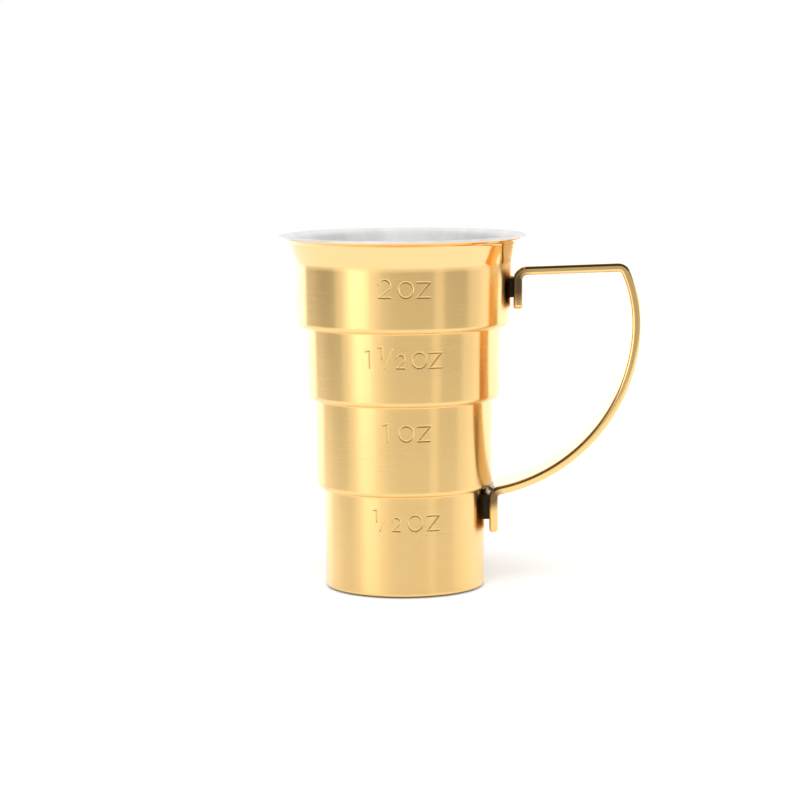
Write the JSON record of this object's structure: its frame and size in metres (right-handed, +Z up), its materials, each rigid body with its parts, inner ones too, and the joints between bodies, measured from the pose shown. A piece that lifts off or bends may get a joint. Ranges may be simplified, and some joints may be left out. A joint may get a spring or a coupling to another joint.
{
  "type": "bar jigger",
  "caption": "Stepped measuring cup with a flared lip, four graduated steps and a D-shaped flat strip handle brazed to one side.",
  "frame": {"origin": "centre of the resting face, on the cup's axis", "axes": "+Z up along the cup's axis; +X from the cup's axis towards the handle; the cup is symmetrical about the XZ plane"},
  "size_m": [0.0703, 0.0484, 0.0693],
  "materials": {
    "gold_brushed": "gold-coloured plated stainless steel, brushed round the cup; bare steel inside",
    "gold_satin": "gold-coloured plated stainless steel strip, satin with polished edges",
    "braze": "dark gold braze in the joint",
    "weld_steel": "bare silver-grey weld bead"
  },
  "bodies": {
    "root": {"cup_body": "gold_brushed", "handle_strip": "gold_satin", "upper_tab_weld": "braze", "lower_tab_weld": "braze", "lower_weld_bead": "weld_steel"}
  },
  "joints": []
}
